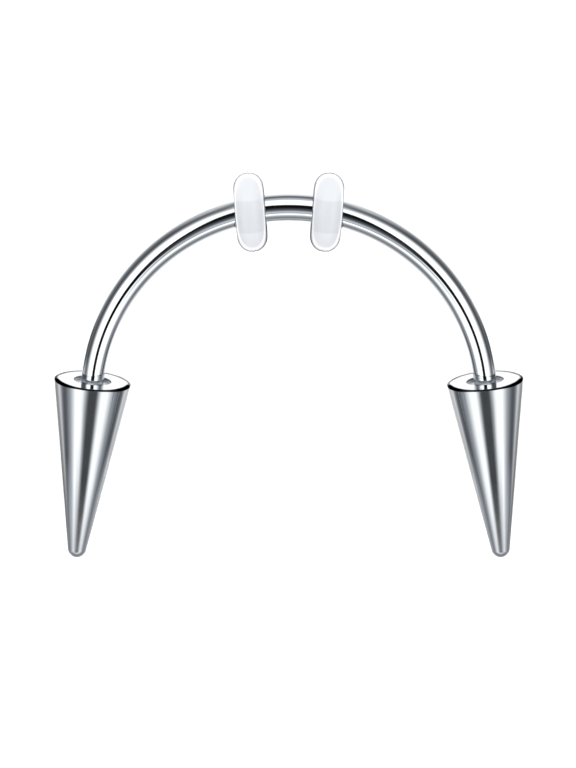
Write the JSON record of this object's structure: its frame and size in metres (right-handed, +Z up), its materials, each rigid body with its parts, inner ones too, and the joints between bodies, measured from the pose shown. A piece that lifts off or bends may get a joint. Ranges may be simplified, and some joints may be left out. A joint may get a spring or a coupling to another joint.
{
  "type": "fang lip ring",
  "caption": "Curved lip ring: a round steel bar bent to an arch, with a long conical spike screwed on at each end and soft clear stoppers near the middle.",
  "frame": {"origin": "centre of the base of the bounding box, on the surface that the ring lies on", "axes": "+Z up from that surface, the ring lying on its side on the rims of both spikes' flat tops and on both stoppers; +X to the right across the arch, from the left spike to the right one; +Y towards the middle of the arch, so the spikes' tips point to -Y"},
  "size_m": [0.025, 0.0212, 0.0042],
  "materials": {
    "bar_steel": "polished",
    "spike_steel": "polished",
    "clear_silicone": "satin"
  },
  "bodies": {
    "bar": {"bar": "bar_steel", "left_stopper": "clear_silicone", "right_stopper": "clear_silicone"},
    "left_spike": {"left_spike": "spike_steel"},
    "right_spike": {"right_spike": "spike_steel"}
  },
  "joints": [
    {"name": "left_spike_unscrew", "type": "slide", "parent": "bar", "child": "left_spike", "axis": [-0.0924, -0.9957, -0.0093], "range_m": [0, 0.003]},
    {"name": "right_spike_unscrew", "type": "slide", "parent": "bar", "child": "right_spike", "axis": [0.0924, -0.9957, -0.0093], "range_m": [0, 0.003]}
  ]
}
